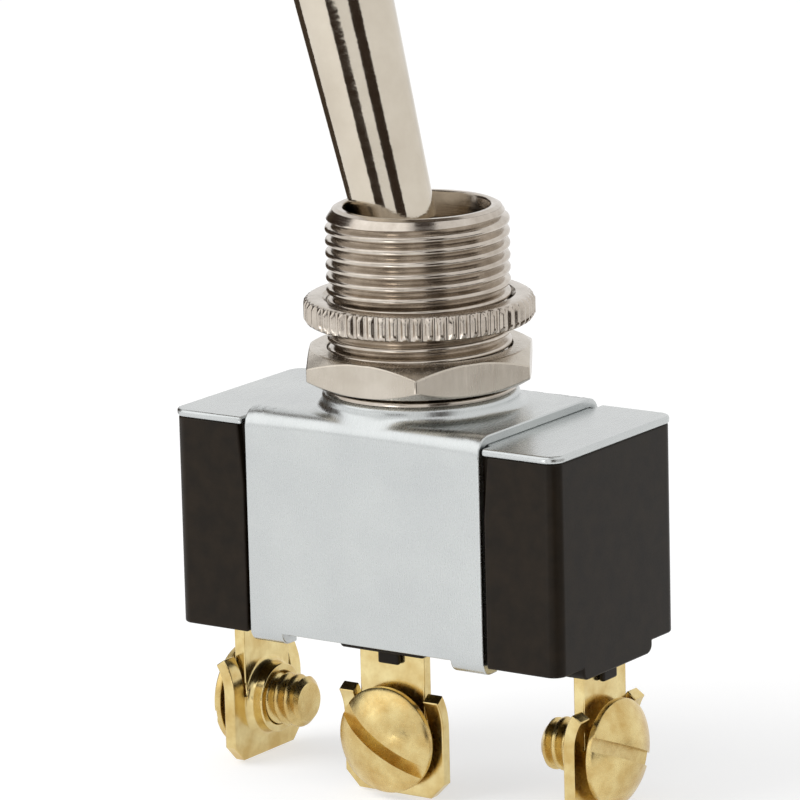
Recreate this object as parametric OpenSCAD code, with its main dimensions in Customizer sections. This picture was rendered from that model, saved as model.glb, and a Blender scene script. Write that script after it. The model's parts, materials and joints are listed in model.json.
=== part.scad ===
// Panel toggle switch, single pole, double throw, with screw terminals.
// The origin is on the bushing's axis, at the top face of the steel strap.
// +Z runs out of the bushing, +X along the long side of the base, -Y to the front.
// The lever rests thrown towards -X, so the contact at the +X end is closed.

/* [Base] */
// Length of the moulded base
base_len = 29.5; // [29:0.25:34]
// Width of the moulded base
base_wid = 14; // [13.8:0.2:18]
// Height of the moulded base
base_ht = 13.85; // [13.45:0.1:18]
// Radius of the base's upright edges
base_edge_r = 0.9; // [0.4:0.1:1.4]
// Thickness of the two end walls
end_wall = 1.6; // [1:0.1:2]
// Thickness of the front and back walls
side_wall = 1.6; // [1.2:0.1:2]
// Width of the raised pads under the end terminals
pad_wid = 8.2; // [6.6:0.2:9]
// How far those pads stand below the base
pad_drop = 0.8; // [0.4:0.1:1.2]
// Width of the small peg in front of each terminal
peg_wid = 1.6; // [1:0.1:2.4]
// How far the peg reaches below its pad
peg_drop = 0.9; // [0.5:0.1:1.3]

/* [Strap and cover] */
// Thickness of the strap's sheet steel
strap_t = 0.6; // [0.5:0.05:0.8]
// Width of the strap along the base
strap_wid = 18.1; // [17:0.1:20]
// Outer radius of the strap's two long bends
strap_bend_r = 1.1; // [0.9:0.1:1.5]
// Width of each folded tab
tab_wid = 2.5; // [1.5:0.1:3.5]
// How far each tab reaches in under the base
tab_reach = 1.7; // [1.4:0.1:2.4]
// Height of the drawn boss that carries the bushing
boss_ht = 1; // [0.8:0.1:1.2]
// Radius of the top of that boss
boss_r = 6.4; // [6.3:0.05:6.6]
// Thickness of the cover plate
cover_t = 0.5; // [0.4:0.05:0.9]
// Corner radius of the cover plate
cover_corner_r = 1.1; // [0.6:0.1:2]
// How far the cover plate stands out past the base
cover_lip = 0.12; // [0:0.02:0.3]
// Thickness of the fibre insulator
insulator_t = 0.8; // [0.5:0.05:1]

/* [Bushing and nuts] */
// Outer diameter of the bushing thread
thread_d = 11.906; // [11.7:0.05:12.1]
// Pitch of the bushing thread
thread_pitch = 0.794; // [0.7:0.01:0.9]
// Height of the bushing above the strap
bushing_ht = 13; // [12:0.5:16]
// Radius of the bushing's mouth
mouth_r = 4.75; // [4.7:0.05:4.85]
// Radius of the flange that seats on the boss
flange_r = 6.2; // [6.1:0.05:6.3]
// Thickness of that flange
flange_t = 0.6; // [0.5:0.05:0.8]
// Width across the flats of the hex nut
hex_af = 14.3; // [13.6:0.1:15.5]
// Thickness of the hex nut
hex_t = 2.2; // [1.8:0.05:2.4]
// Height of the hex nut's lower face
hex_z = 1.65; // [1.65:0.05:2.2]
// Turn of the hex nut on its thread
hex_turn = 2; // [0:1:59]
// Diameter of the ring nut
ring_d = 15; // [14:0.1:16]
// Thickness of the ring nut
ring_t = 1.72; // [1.3:0.05:2.2]
// Height of the ring nut's lower face
ring_z = 5.43; // [5.2:0.1:9]
// Number of knurls round the ring nut
knurls = 60; // [48:1:72]
// Depth of the knurls
knurl_depth = 0.3; // [0.15:0.05:0.4]
// Width of the keyway down the thread
key_wid = 1.8; // [1.2:0.1:2.2]
// Depth of the keyway
key_depth = 0.75; // [0.5:0.05:0.9]

/* [Lever] */
// Tilt of the lever either way from upright
lever_tilt = 14.3; // [12:0.1:14.3]
// Height of the lever's pivot above the strap
pivot_z = 5.3; // [5:0.05:5.4]
// Distance from the pivot to the lever's tip
lever_reach = 26; // [20:0.5:34]
// Radius of the bat at its lower end
bat_low_r = 2.65; // [2.2:0.05:2.65]
// Radius of the bat at its upper end
bat_top_r = 3.2; // [2.6:0.05:3.6]
// Distance from the pivot to the bat's shoulder
shoulder_d = 5.5; // [5.3:0.1:6.5]
// Radius of the rounded shoulder
shoulder_r = 1.2; // [0.6:0.1:1.5]
// Radius of the neck
neck_r = 1.9; // [1.5:0.1:2.2]
// Radius of the pivot ball
ball_r = 3.6; // [3.4:0.05:3.7]
// Radius of the pivot pin
pin_r = 0.9; // [0.7:0.05:1]
// Radius of the hollow tail
tail_r = 2.1; // [2:0.05:2.15]
// Distance from the pivot to the end of the tail
tail_reach = 8; // [7.3:0.1:8.3]

/* [Throw mechanism] */
// Radius of the plunger's shank
plunger_r = 1.45; // [1.2:0.05:1.5]
// Radius of the plunger's round tip
tip_r = 1.3; // [1.1:0.05:1.4]
// Distance from the lever's pivot to the plunger's tip
plunger_reach = 12.5; // [12:0.1:12.7]
// Wire diameter of the plunger spring
wire_d = 0.4; // [0.3:0.05:0.45]
// Turns of the plunger spring
spring_turns = 5; // [4:1:6]
// Thickness of the rocker's strip
rocker_t = 0.8; // [0.6:0.05:0.9]
// Width of the rocker's strip
rocker_wid = 4.6; // [4.2:0.1:5.2]
// Slope of the rocker's two wings
wing_slope = 16; // [15:0.5:17]
// Tilt of the rocker either way from level
rocker_tilt = 8; // [7:0.5:8]
// Height of the rocker's hollow above its pivot
rocker_h = 1.87; // [1.8:0.01:2]
// How far in from the base's end each rocker contact lies
contact_inset = 6.35; // [6:0.05:6.5]
// Radius of the contacts
contact_r = 1.6; // [1.3:0.1:1.8]
// Radius of the ridge the rocker tips on
ridge_r = 0.75; // [0.6:0.05:0.8]

/* [Terminals] */
// Thickness of the terminal strip
term_t = 0.8; // [0.6:0.05:0.9]
// Width of the strip inside the base
term_strip_wid = 5; // [4:0.1:5.2]
// Width of the wide plate
term_plate_wid = 7.7; // [7.3:0.1:9]
// Height of the strap above each terminal's lower end
term_end_drop = 25.2; // [24.8:0.1:27]
// Depth of each terminal screw below the strap
screw_drop = 21.4; // [21.2:0.1:21.8]
// How far in from the base's end the end terminals' outer faces lie
term_inset = 1.05; // [1.05:0.05:1.3]
// Distance from the bushing's axis to the centre terminal's outer face
term_y = 4.1; // [4:0.05:4.2]
// Cut-off size of the plate's lower corners
term_corner = 1.05; // [0.6:0.05:1.4]
// Height of the bent ears
ear_ht = 1.9; // [1.4:0.1:2]
// Width of the bent ears
ear_wid = 1.15; // [0.8:0.05:1.3]
// Bend of the ears
ear_bend = 34; // [10:1:45]
// Outer radius of the drawn collar
collar_r = 2.3; // [2.2:0.05:2.5]
// Length of the drawn collar
collar_len = 1.1; // [0.7:0.1:1.5]

/* [Screws] */
// Outer diameter of the screw thread
screw_d = 3.5; // [3.2:0.05:3.6]
// Pitch of the screw thread
screw_pitch = 0.79; // [0.6:0.01:0.9]
// Length of the screw under its head
screw_len = 4.76; // [3.6:0.1:5.2]
// Radius of the screw head
head_r = 3.5; // [3.1:0.05:3.7]
// Height of the screw head
head_ht = 1.7; // [1.65:0.05:2]
// How far each screw is backed out from its plate
screw_out = 0.6; // [0.1:0.05:1]
// Width of the screwdriver slot
slot_wid = 0.9; // [0.7:0.05:1.1]
// Depth of the screwdriver slot
slot_depth = 1.35; // [0.6:0.05:1.35]
// Turn of the slot on the left, centre and right screw
slot_turns = [15, 31, 22];

/* [Hidden] */
$fn = 64;

// Clearances
run_gap = 0.05;
seat_gap = 0.02;
slot_gap = 0.04;
contact_gap = 0.05;
tip_gap = 0.24;
// Extra length that carries a cut clear of a face
eps = 0.5;

// Levels, down from the strap's top face
base_top = -strap_t - cover_t;
base_bottom = base_top - base_ht;
cavity_top = base_top - insulator_t;
floor_t = 1.7;
floor_top = base_bottom + floor_t;
cavity_len = base_len - 2*end_wall;
cavity_wid = base_wid - 2*side_wall;

// Strap
leg_out = base_wid/2 + 0.05;
leg_in = leg_out - strap_t;
recess_floor = leg_in - seat_gap;
recess_len = strap_wid + 0.5;
flare_ht = 4;
flare_wid = 0.45;
leg_bottom = base_bottom + 0.2;
notch_floor = leg_out - strap_bend_r;
tab_bend_r = 0.9;
tab_bevel = 0.35;
boss_foot = 0.6;
boss_crown = 0.35;
bushing_hole_r = 5.2;

// Bushing
thread_r = thread_d/2;
nut_bore_r = thread_r + run_gap;
flange_top = boss_ht + flange_t;
bore_r = ball_r + 0.06;
bore_top = 8.6;
mouth_bottom = 9.6;
rim_r = 0.4;
rim_slope_ht = 0.15;
lead_ht = 0.75;
lead_in = 0.5;
stake_r = 5.55;
stake_t = 0.5;
relief_ht = 0.4;
groove_r = bore_r + 1.09;

// Lever
bat_cap_d = lever_reach - bat_top_r;
spring_top_d = 1.5;
plunger_top_d = 4.9;
plunger_neck_d = 8.6;
tail_bore_r = plunger_r + run_gap;
coil_r = tail_bore_r - wire_d/2 - 0.15;
pin_half = groove_r - 0.15;

// Rocker
hollow_z = pivot_z - (plunger_reach - tip_r) - (tip_r + tip_gap)/cos(wing_slope);
rocker_z = hollow_z - rocker_h;
wing_end = 4.4;
contact_x = base_len/2 - contact_inset;
arm_start = contact_x - contact_r - 0.4;
arm_end = contact_x + contact_r + 0.2;
arm_mid_h = 2.05;
ear_t = 0.8;
notch_r = ridge_r + run_gap;
dome_r = 5;
contact_t = 0.7;
rivet_r = 0.7;
face_h = arm_mid_h - rocker_t/2 - contact_t;
dome_centre_h = face_h + dome_r;
fixed_t = 0.9;
fixed_x = contact_x*cos(rocker_tilt) + dome_centre_h*sin(rocker_tilt);
fixed_top = rocker_z + dome_centre_h*cos(rocker_tilt) - contact_x*sin(rocker_tilt) - dome_r - contact_gap;

// Terminals
term_x = base_len/2 - term_inset;
shelf_top = fixed_top - fixed_t;
centre_shelf_top = rocker_z - 0.8;
shelf_end = fixed_x - contact_r - 0.4;
centre_shelf_end = rocker_wid/2 + ear_t + 0.3;
term_bend_r = 0.4;
ear_top = -18.6;
ear_root = ear_top - ear_ht;
tapped_r = screw_d/2 + run_gap;
pad_bottom = base_bottom - pad_drop;
centre_pad_drop = pad_drop - 0.2;
pad_in = 3.6;

// A rectangle with round corners, centred on the origin
module round_rect(len, wid, r) {
    square([len - 2*r, wid], center = true);
    square([len, wid - 2*r], center = true);
    for (x = [-1, 1], y = [-1, 1])
        translate([x*(len/2 - r), y*(wid/2 - r)]) circle(r);
}

// A slab from one level to another, cut from a plan outline
module slab(low, high) {
    translate([0, 0, low]) linear_extrude(high - low) children();
}

// The edge of a thread, drawn as level rings with flat crests and roots, from low to high
function thread_rings(r, pitch, low, high) =
    let (
        depth = 0.6134*pitch, flank = depth*tan(30), crest = pitch/8,
        turns = floor((high - low - crest)/pitch),
        ring = [[r, crest], [r - depth, crest + flank], [r - depth, pitch - flank], [r, pitch]]
    ) concat(
        [[r, low]],
        [for (i = [0:turns - 1], p = ring) [p[0], low + i*pitch + p[1]]],
        [[r, high]]
    );

// A profile in the XZ plane, carried along Y from one side to the other
module across(from, to) {
    translate([0, to, 0]) rotate([90, 0, 0]) linear_extrude(to - from) children();
}

// A profile in the YZ plane, carried along X from one end to the other
module along(from, to) {
    translate([from, 0, 0]) rotate([90, 0, 90]) linear_extrude(to - from) children();
}

// The outline of a bent strip of one thickness, from the points of its middle line
function strip_normal(p, q) = let (d = q - p) [-d[1], d[0]]/norm(d);
function strip_corner(pts, i) =
    let (
        n = len(pts) - 1,
        a = strip_normal(pts[max(i - 1, 0)], pts[max(i, 1)]),
        b = strip_normal(pts[min(i, n - 1)], pts[min(i + 1, n)]),
        m = (a + b)/norm(a + b)
    ) m/(m*a);
module bent_strip(pts, t) {
    n = len(pts) - 1;
    upper = [for (i = [0:n]) pts[i] + strip_corner(pts, i)*t/2];
    lower = [for (i = [n:-1:0]) pts[i] - strip_corner(pts, i)*t/2];
    polygon(concat(upper, lower));
}

// The shape of the part of the base that stands below its floor, seen from the end
module pad_profile(wid, drop, r) {
    translate([-wid/2, base_bottom - drop + r]) square([wid, drop - r + 0.3]);
    translate([-wid/2 + r, base_bottom - drop]) square([wid - 2*r, drop + 0.3]);
    for (side = [-1, 1])
        translate([side*(wid/2 - r), base_bottom - drop + r]) circle(r);
}

// Recess for one strap leg, with a flare on each side near its top
module leg_recess() {
    half = recess_len/2;
    across(-base_wid/2 - eps, -recess_floor)
        polygon([
            [-half, base_bottom - 1], [half, base_bottom - 1],
            [half, base_top - flare_ht], [half + flare_wid, base_top + 1],
            [-half - flare_wid, base_top + 1], [-half, base_top - flare_ht]
        ]);
    // bevel that the folded tabs bend round
    along(-half, half)
        polygon([
            [-recess_floor - eps, base_bottom + tab_bevel + eps],
            [-recess_floor + tab_bevel + 0.01, base_bottom - 0.01],
            [-recess_floor - eps, base_bottom - 0.01]
        ]);
}

// Bevelled inner corner of a terminal's slot, drawn with that corner at zero
module slot_bevel() {
    r = term_bend_r + slot_gap;
    polygon([[slot_gap, slot_gap], [-r - slot_gap, slot_gap], [slot_gap, -r - slot_gap]]);
}

// Where the strip of an end terminal runs up through the base
module end_slot() {
    half = term_strip_wid/2 + slot_gap;
    translate([term_x - term_t - slot_gap, 0, shelf_top - term_t]) across(-half, half) slot_bevel();
    translate([term_x - term_t - slot_gap, -half, pad_bottom - eps])
        cube([term_t + 2*slot_gap, 2*half, shelf_top - pad_bottom + 2*eps]);
    translate([shelf_end - slot_gap, -half, shelf_top - term_t])
        cube([term_x - shelf_end + 2*slot_gap, 2*half, term_t + eps]);
}

// Where the strip of the centre terminal runs up through the base
module centre_slot() {
    half = term_strip_wid/2 + slot_gap;
    translate([0, -term_y + term_t + slot_gap, centre_shelf_top - term_t])
        along(-half, half) mirror([1, 0]) slot_bevel();
    translate([-half, -term_y - slot_gap, pad_bottom - eps])
        cube([2*half, term_t + 2*slot_gap, centre_shelf_top - pad_bottom + 2*eps]);
}

module base() {
    ped_half = term_strip_wid/2 + 1;
    color([0.16, 0.145, 0.13])
    difference() {
        union() {
            difference() {
                slab(base_bottom, base_top) round_rect(base_len, base_wid, base_edge_r);
                slab(floor_top, base_top + eps) round_rect(cavity_len, cavity_wid, 0.5);
                slab(cavity_top, base_top + eps)
                    round_rect(cavity_len + 1.2, cavity_wid + 1.2, 0.5);
            }
            // ledges that carry the end terminals' shelves
            for (side = [-1, 1])
                translate([side > 0 ? shelf_end - 0.3 : -cavity_len/2 - 0.3, -ped_half, floor_top - 0.3])
                    cube([cavity_len/2 - shelf_end + 0.6, 2*ped_half, shelf_top - term_t - seat_gap - floor_top + 0.3]);
            // pedestal that carries the centre terminal's shelf
            translate([-ped_half, -cavity_wid/2 - 0.3, floor_top - 0.3])
                cube([2*ped_half, cavity_wid + 0.6, centre_shelf_top - term_t - seat_gap - floor_top + 0.3]);
            // pads round the terminals where they leave the base
            for (side = [-1, 1])
                along(side > 0 ? base_len/2 - pad_in : -base_len/2, side > 0 ? base_len/2 : -base_len/2 + pad_in)
                    pad_profile(pad_wid, pad_drop, 0.6);
            across(-term_y - 1.1, -term_y + term_t + 1.1)
                pad_profile(term_strip_wid + 1.6, centre_pad_drop, 0.3);
            // pegs in front of the terminals
            for (turn = [-90, 90])
                rotate([0, 0, turn])
                    translate([-peg_wid/2, -term_x - 0.45, pad_bottom - peg_drop])
                        cube([peg_wid, 0.45 - slot_gap, peg_drop + 0.5]);
            translate([-peg_wid/2, -term_y - 0.45, base_bottom - centre_pad_drop - peg_drop])
                cube([peg_wid, 0.45 - slot_gap, peg_drop + 0.5]);
        }
        leg_recess();
        mirror([0, 1, 0]) leg_recess();
        end_slot();
        mirror([1, 0, 0]) end_slot();
        centre_slot();
    }
}

module insulator() {
    color([0.36, 0.3, 0.24])
    difference() {
        slab(cavity_top, base_top) round_rect(cavity_len + 1.2 - 2*seat_gap, cavity_wid + 1.2 - 2*seat_gap, 0.5);
        slab(cavity_top - eps, base_top + eps) lever_slot(tail_r + 0.75);
    }
}

// The opening that the lever's tail swings in, as long as the throw needs
module lever_slot(r) {
    swing = (pivot_z - cavity_top)*tan(lever_tilt);
    square([2*swing, 2*r], center = true);
    for (side = [-1, 1]) translate([side*swing, 0]) circle(r);
}

module cover_plate() {
    color([0.78, 0.8, 0.81])
    difference() {
        slab(-strap_t - cover_t, -strap_t)
            round_rect(base_len + 2*cover_lip, base_wid + 2*cover_lip, cover_corner_r);
        for (side = [-1, 1])
            translate([-recess_len/2, side > 0 ? notch_floor : -notch_floor - 2, -strap_t - cover_t - eps])
                cube([recess_len, 2, cover_t + 2*eps]);
        slab(-strap_t - cover_t - eps, -strap_t + eps) lever_slot(tail_r + 0.6);
    }
}

// The strap seen from the end: flat top, two bends and two legs
module strap_profile() {
    bend = strap_bend_r;
    difference() {
        union() {
            translate([-leg_out + bend, -bend]) square([2*(leg_out - bend), bend]);
            for (side = [-1, 1]) {
                translate([side*(leg_out - bend), -bend]) circle(bend);
                translate([side > 0 ? leg_out - bend : -leg_out, leg_bottom])
                    square([bend, -bend - leg_bottom]);
            }
        }
        translate([-leg_in, leg_bottom - eps]) square([2*leg_in, -bend - leg_bottom + eps]);
        translate([-leg_in + bend - strap_t, -bend]) square([2*(leg_in - bend + strap_t), bend - strap_t]);
        for (side = [-1, 1])
            translate([side*(leg_out - bend), -bend]) circle(bend - strap_t);
    }
}

// One tab, from the leg's lower edge round its bend and in under the base
module strap_tab() {
    r = tab_bend_r;
    z = base_bottom - strap_t + r;
    translate([-leg_out, z]) square([strap_t, leg_bottom - z + 0.2]);
    translate([-leg_out + r, base_bottom - strap_t]) square([tab_reach - r, strap_t]);
    difference() {
        translate([-leg_out + r, z]) circle(r);
        translate([-leg_out + r, z]) circle(r - strap_t);
        translate([-leg_out + r, z - 2*r]) square([2*r, 4*r]);
        translate([-leg_out - r, z]) square([4*r, 2*r]);
    }
}

// Half outline of the drawn boss: a hollow fillet at its foot, a round edge at its crown
module boss_outside() {
    difference() {
        union() {
            translate([0, -0.2]) square([boss_r + boss_foot, boss_foot + 0.2]);
            square([boss_r, boss_ht - boss_crown]);
            square([boss_r - boss_crown, boss_ht]);
            translate([boss_r - boss_crown, boss_ht - boss_crown]) circle(boss_crown);
        }
        translate([boss_r + boss_foot, boss_foot]) circle(boss_foot);
        translate([-20, -10]) square([20, 20]);
    }
}

// The same boss from beneath, one sheet thickness further in
module boss_inside() {
    difference() {
        translate([0, -strap_t - eps]) square([boss_r + boss_foot, boss_ht + eps]);
        translate([boss_r + boss_foot, boss_foot]) circle(boss_foot + strap_t);
    }
}

module strap() {
    tab_x = strap_wid/2 - tab_wid;
    color([0.8, 0.82, 0.84])
    difference() {
        union() {
            along(-strap_wid/2, strap_wid/2) strap_profile();
            intersection() {
                rotate_extrude($fn = 96) boss_outside();
                translate([-10, -leg_in, -0.3]) cube([20, 2*leg_in, 3]);
            }
            for (turn = [0, 180], x = [-strap_wid/2, tab_x])
                rotate([0, 0, turn]) along(x, x + tab_wid) strap_tab();
        }
        intersection() {
            rotate_extrude($fn = 96) boss_inside();
            translate([-10, -leg_in + strap_t, -strap_t - 0.1])
                cube([20, 2*(leg_in - strap_t), 3]);
        }
        translate([0, 0, -5]) cylinder(r = bushing_hole_r, h = 10);
    }
}

// Half outline of the bushing, with its bore, as a turned part
module bushing_profile() {
    rim_top = bushing_ht;
    rim_out = thread_r - lead_in;
    rings = thread_rings(
        thread_r, thread_pitch, flange_top + relief_ht + 0.25, rim_top - rim_slope_ht - lead_ht
    );
    difference() {
        polygon(concat([
            [bore_r, boss_ht - strap_t - stake_t], [stake_r - 0.2, boss_ht - strap_t - stake_t],
            [stake_r, boss_ht - strap_t - 0.2], [stake_r, boss_ht - strap_t],
            [bushing_hole_r, boss_ht - strap_t], [bushing_hole_r, boss_ht],
            [flange_r, boss_ht], [flange_r, flange_top - 0.1], [flange_r - 0.1, flange_top],
            [thread_r - lead_in, flange_top], [thread_r - lead_in, flange_top + relief_ht]
        ], rings, [
            [rim_out, rim_top - rim_slope_ht],
            [mouth_r + rim_r, rim_top], [mouth_r + rim_r, rim_top - rim_r], [mouth_r, rim_top - rim_r],
            [mouth_r, mouth_bottom], [bore_r, bore_top]
        ]));
    }
    // rounded rim at the mouth
    intersection() {
        translate([mouth_r + rim_r, rim_top - rim_r]) circle(rim_r);
        translate([mouth_r, rim_top - rim_r]) square([rim_r, rim_r]);
    }
}

module bushing() {
    color([0.76, 0.74, 0.71])
    difference() {
        rotate_extrude($fn = 96) bushing_profile();
        // keyway down the side away from the front
        translate([-thread_r - eps, -key_wid/2, flange_top])
            cube([key_depth + eps, key_wid, bushing_ht]);
        // blind grooves that take the two ends of the pivot pin
        for (side = [0, 180])
            rotate([0, 0, side])
                across(0, groove_r) {
                    translate([-pin_r - run_gap, boss_ht - strap_t - stake_t - eps])
                        square([2*(pin_r + run_gap), pivot_z - boss_ht + strap_t + stake_t + eps]);
                    translate([0, pivot_z]) circle(pin_r + run_gap);
                }
    }
}

// Moves a piece drawn upright about the pivot to where the lever rests
module on_lever() {
    translate([0, 0, pivot_z]) rotate([0, -lever_tilt, 0]) children();
}

// Half outline of the lever, drawn upright with the pivot at zero
module lever_profile() {
    slope = (bat_top_r - bat_low_r)/(bat_cap_d - shoulder_d - shoulder_r);
    difference() {
        union() {
            polygon([
                [0, shoulder_d + shoulder_r], [bat_low_r, shoulder_d + shoulder_r],
                [bat_top_r, bat_cap_d], [0, bat_cap_d]
            ]);
            translate([0, bat_cap_d]) circle(bat_top_r);
            translate([0, shoulder_d]) square([bat_low_r - shoulder_r, shoulder_r + 0.1]);
            translate([bat_low_r - shoulder_r, shoulder_d + shoulder_r]) circle(shoulder_r);
            square([neck_r, shoulder_d + 0.5]);
            circle(ball_r);
            translate([0, -tail_reach]) square([tail_r, tail_reach]);
        }
        translate([-20, -20]) square([20, 60]);
        translate([0, -tail_reach - eps]) square([tail_bore_r, tail_reach - spring_top_d + eps]);
    }
}

module lever() {
    color([0.78, 0.76, 0.73])
    on_lever() difference() {
        rotate_extrude($fn = 96) lever_profile();
        rotate([90, 0, 0]) cylinder(r = pin_r + 0.01, h = 3*ball_r, center = true);
    }
}

module pivot_pin() {
    color([0.6, 0.6, 0.6])
    translate([0, 0, pivot_z]) rotate([90, 0, 0]) cylinder(r = pin_r, h = 2*pin_half, center = true);
}

module plunger() {
    color([0.9, 0.88, 0.82])
    on_lever() {
        rotate_extrude() polygon([
            [0, -plunger_top_d], [plunger_r, -plunger_top_d], [plunger_r, -plunger_neck_d],
            [tip_r, -plunger_neck_d - 0.3], [tip_r, -plunger_reach + tip_r], [0, -plunger_reach + tip_r]
        ]);
        translate([0, 0, -plunger_reach + tip_r]) sphere(tip_r);
    }
}

// A point on the spring's centre line, at a share s of its length
function coil_point(s, top, bottom) =
    [coil_r*cos(360*spring_turns*s), coil_r*sin(360*spring_turns*s), top + (bottom - top)*s];

// A coil spring as one swept tube
module coil(top, bottom, rings, sides) {
    turn = 360*spring_turns;
    pts = [
        for (i = [0:rings], j = [0:sides - 1])
            let (
                s = i/rings, a = turn*s, b = 360*j/sides,
                out = [cos(a), sin(a), 0], up = [0, 0, 1]
            ) coil_point(s, top, bottom) + wire_d/2*(out*cos(b) + up*sin(b))
    ];
    walls = [
        for (i = [0:rings - 1], j = [0:sides - 1])
            let (k = (j + 1)%sides)
                [i*sides + j, (i + 1)*sides + j, (i + 1)*sides + k, i*sides + k]
    ];
    polyhedron(pts, concat(
        [[for (j = [0:sides - 1]) j]],
        walls,
        [[for (j = [sides - 1:-1:0]) rings*sides + j]]
    ));
}

module plunger_spring() {
    color([0.7, 0.7, 0.7])
    on_lever()
        coil(-spring_top_d - wire_d/2 - seat_gap, -plunger_top_d + wire_d/2 + seat_gap, 18*spring_turns, 8);
}

// Moves a piece drawn level about the rocker's pivot to where the rocker rests
module on_rocker() {
    translate([0, 0, rocker_z]) rotate([0, rocker_tilt, 0]) children();
}

module rocker() {
    mid = rocker_h - rocker_t/2/cos(wing_slope);
    half = [[wing_end, mid + wing_end*tan(wing_slope)], [arm_start, arm_mid_h], [arm_end, arm_mid_h]];
    left = [for (i = [2:-1:0]) [-half[i][0], half[i][1]]];
    color([0.72, 0.45, 0.28])
    on_rocker() difference() {
        union() {
            across(-rocker_wid/2, rocker_wid/2) bent_strip(concat(left, [[0, mid]], half), rocker_t);
            for (y = [-rocker_wid/2 - ear_t, rocker_wid/2])
                across(y, y + ear_t) difference() {
                    polygon([
                        [-1.7, -0.05], [1.7, -0.05], [2.4, mid + 1.2*tan(wing_slope)],
                        [1.2, mid + 1.2*tan(wing_slope)], [0, mid],
                        [-1.2, mid + 1.2*tan(wing_slope)], [-2.4, mid + 1.2*tan(wing_slope)]
                    ]);
                    circle(notch_r);
                }
        }
        for (side = [-1, 1])
            translate([side*contact_x, 0, 0]) cylinder(r = rivet_r + 0.01, h = 6);
    }
}

// A domed contact with its rivet shank, hung from the rocker's arm
module rocker_contact(side) {
    color([0.82, 0.82, 0.84])
    on_rocker() translate([side*contact_x, 0, 0]) {
        intersection() {
            translate([0, 0, face_h]) cylinder(r = contact_r, h = contact_t);
            translate([0, 0, dome_centre_h]) sphere(dome_r, $fn = 96);
        }
        translate([0, 0, face_h + contact_t - 0.1]) cylinder(r = rivet_r, h = rocker_t + 0.1);
    }
}

module rocker_contact_left() { rocker_contact(-1); }
module rocker_contact_right() { rocker_contact(1); }

// A flat contact with its rivet shank, standing on an end terminal's shelf
module fixed_contact(side) {
    color([0.82, 0.82, 0.84])
    translate([side*fixed_x, 0, 0]) {
        translate([0, 0, shelf_top]) cylinder(r = contact_r, h = fixed_t - 0.15);
        translate([0, 0, fixed_top - 0.15]) cylinder(r1 = contact_r, r2 = contact_r - 0.15, h = 0.15);
        translate([0, 0, shelf_top - term_t]) cylinder(r = rivet_r, h = term_t + 0.1);
    }
}

module fixed_contact_left() { fixed_contact(-1); }
module fixed_contact_right() { fixed_contact(1); }

// One bent ear, curling out of the plate towards the screw head
module ear() {
    bend_r = ear_ht/sin(ear_bend);
    translate([-ear_wid/2, -bend_r, ear_root])
        rotate([0, 90, 0]) rotate([0, 0, 90]) rotate_extrude(angle = ear_bend, $fn = 128)
            translate([bend_r, 0]) square([term_t, ear_wid]);
}

// Half outline of the drawn collar, which flares out of the plate
module collar_profile() {
    flare = 0.5;
    translate([tapped_r, 0]) square([collar_r - tapped_r, term_t + collar_len]);
    difference() {
        translate([tapped_r, term_t - 0.1]) square([collar_r - tapped_r + flare, flare + 0.1]);
        translate([collar_r + flare, term_t + flare]) circle(flare);
    }
}

// A terminal outside the base: strip, wide plate, ears and collar.
// Its outer face lies in the XZ plane and its thickness runs towards +Y.
module terminal_plate() {
    strip = term_strip_wid/2;
    plate = term_plate_wid/2;
    gap = 0.25;
    low = -term_end_drop;
    difference() {
        union() {
            across(0, term_t) polygon([
                [-strip, pad_bottom], [-strip, ear_root], [-plate, ear_root],
                [-plate, low + term_corner], [-plate + term_corner, low],
                [plate - term_corner, low], [plate, low + term_corner],
                [plate, ear_root], [strip, ear_root], [strip, pad_bottom]
            ]);
            for (side = [-1, 1]) translate([side*(plate - ear_wid/2), 0, 0]) ear();
            translate([0, 0, -screw_drop]) rotate([-90, 0, 0]) rotate_extrude() collar_profile();
        }
        // relief cuts between the ears and the strip
        for (side = [-1, 1])
            translate([side*(plate - ear_wid - gap/2) - gap/2, -eps, ear_root - 0.3])
                cube([gap, term_t + 2*eps, 0.3 + eps]);
        translate([0, -eps, -screw_drop]) rotate([-90, 0, 0]) cylinder(r = tapped_r, h = 10);
        // rounded entry on the outer face
        translate([0, -0.01, -screw_drop]) rotate([-90, 0, 0])
            cylinder(r1 = tapped_r + 0.25, r2 = tapped_r, h = 0.25);
    }
}

// A strip that rises inside the base and turns inwards to a level shelf
module terminal_inside(top, reach) {
    half = term_strip_wid/2;
    r = term_bend_r + term_t;
    translate([-half, 0, pad_bottom - 0.01]) cube([2*half, term_t, top - r - pad_bottom + 0.02]);
    translate([-half, r, top - r]) rotate([0, 90, 0]) rotate([0, 0, 180])
        rotate_extrude(angle = 90) translate([term_bend_r, 0]) square([term_t, 2*half]);
    translate([-half, r - 0.01, top - term_t]) cube([2*half, reach - r + 0.01, term_t]);
}

// Places a terminal drawn with its outer face in the XZ plane, at one end of the base
module at_end(side) {
    rotate([0, 0, side*90]) translate([0, -term_x, 0]) children();
}

module end_terminal(side) {
    color([0.83, 0.69, 0.38])
    difference() {
        at_end(side) {
            terminal_plate();
            terminal_inside(shelf_top, term_x - shelf_end);
        }
        translate([side*fixed_x, 0, shelf_top - 3]) cylinder(r = rivet_r + 0.01, h = 5);
    }
}

module terminal_left() { end_terminal(-1); }
module terminal_right() { end_terminal(1); }

module terminal_centre() {
    color([0.83, 0.69, 0.38]) {
        translate([0, -term_y, 0]) {
            terminal_plate();
            terminal_inside(centre_shelf_top, term_y + centre_shelf_end);
        }
        // ridge that the rocker's ears stand on
        across(-rocker_wid/2 - ear_t - 0.2, centre_shelf_end) {
            translate([-ridge_r, centre_shelf_top - 0.1]) square([2*ridge_r, rocker_z - centre_shelf_top + 0.1]);
            translate([0, rocker_z]) circle(ridge_r);
        }
    }
}

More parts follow.
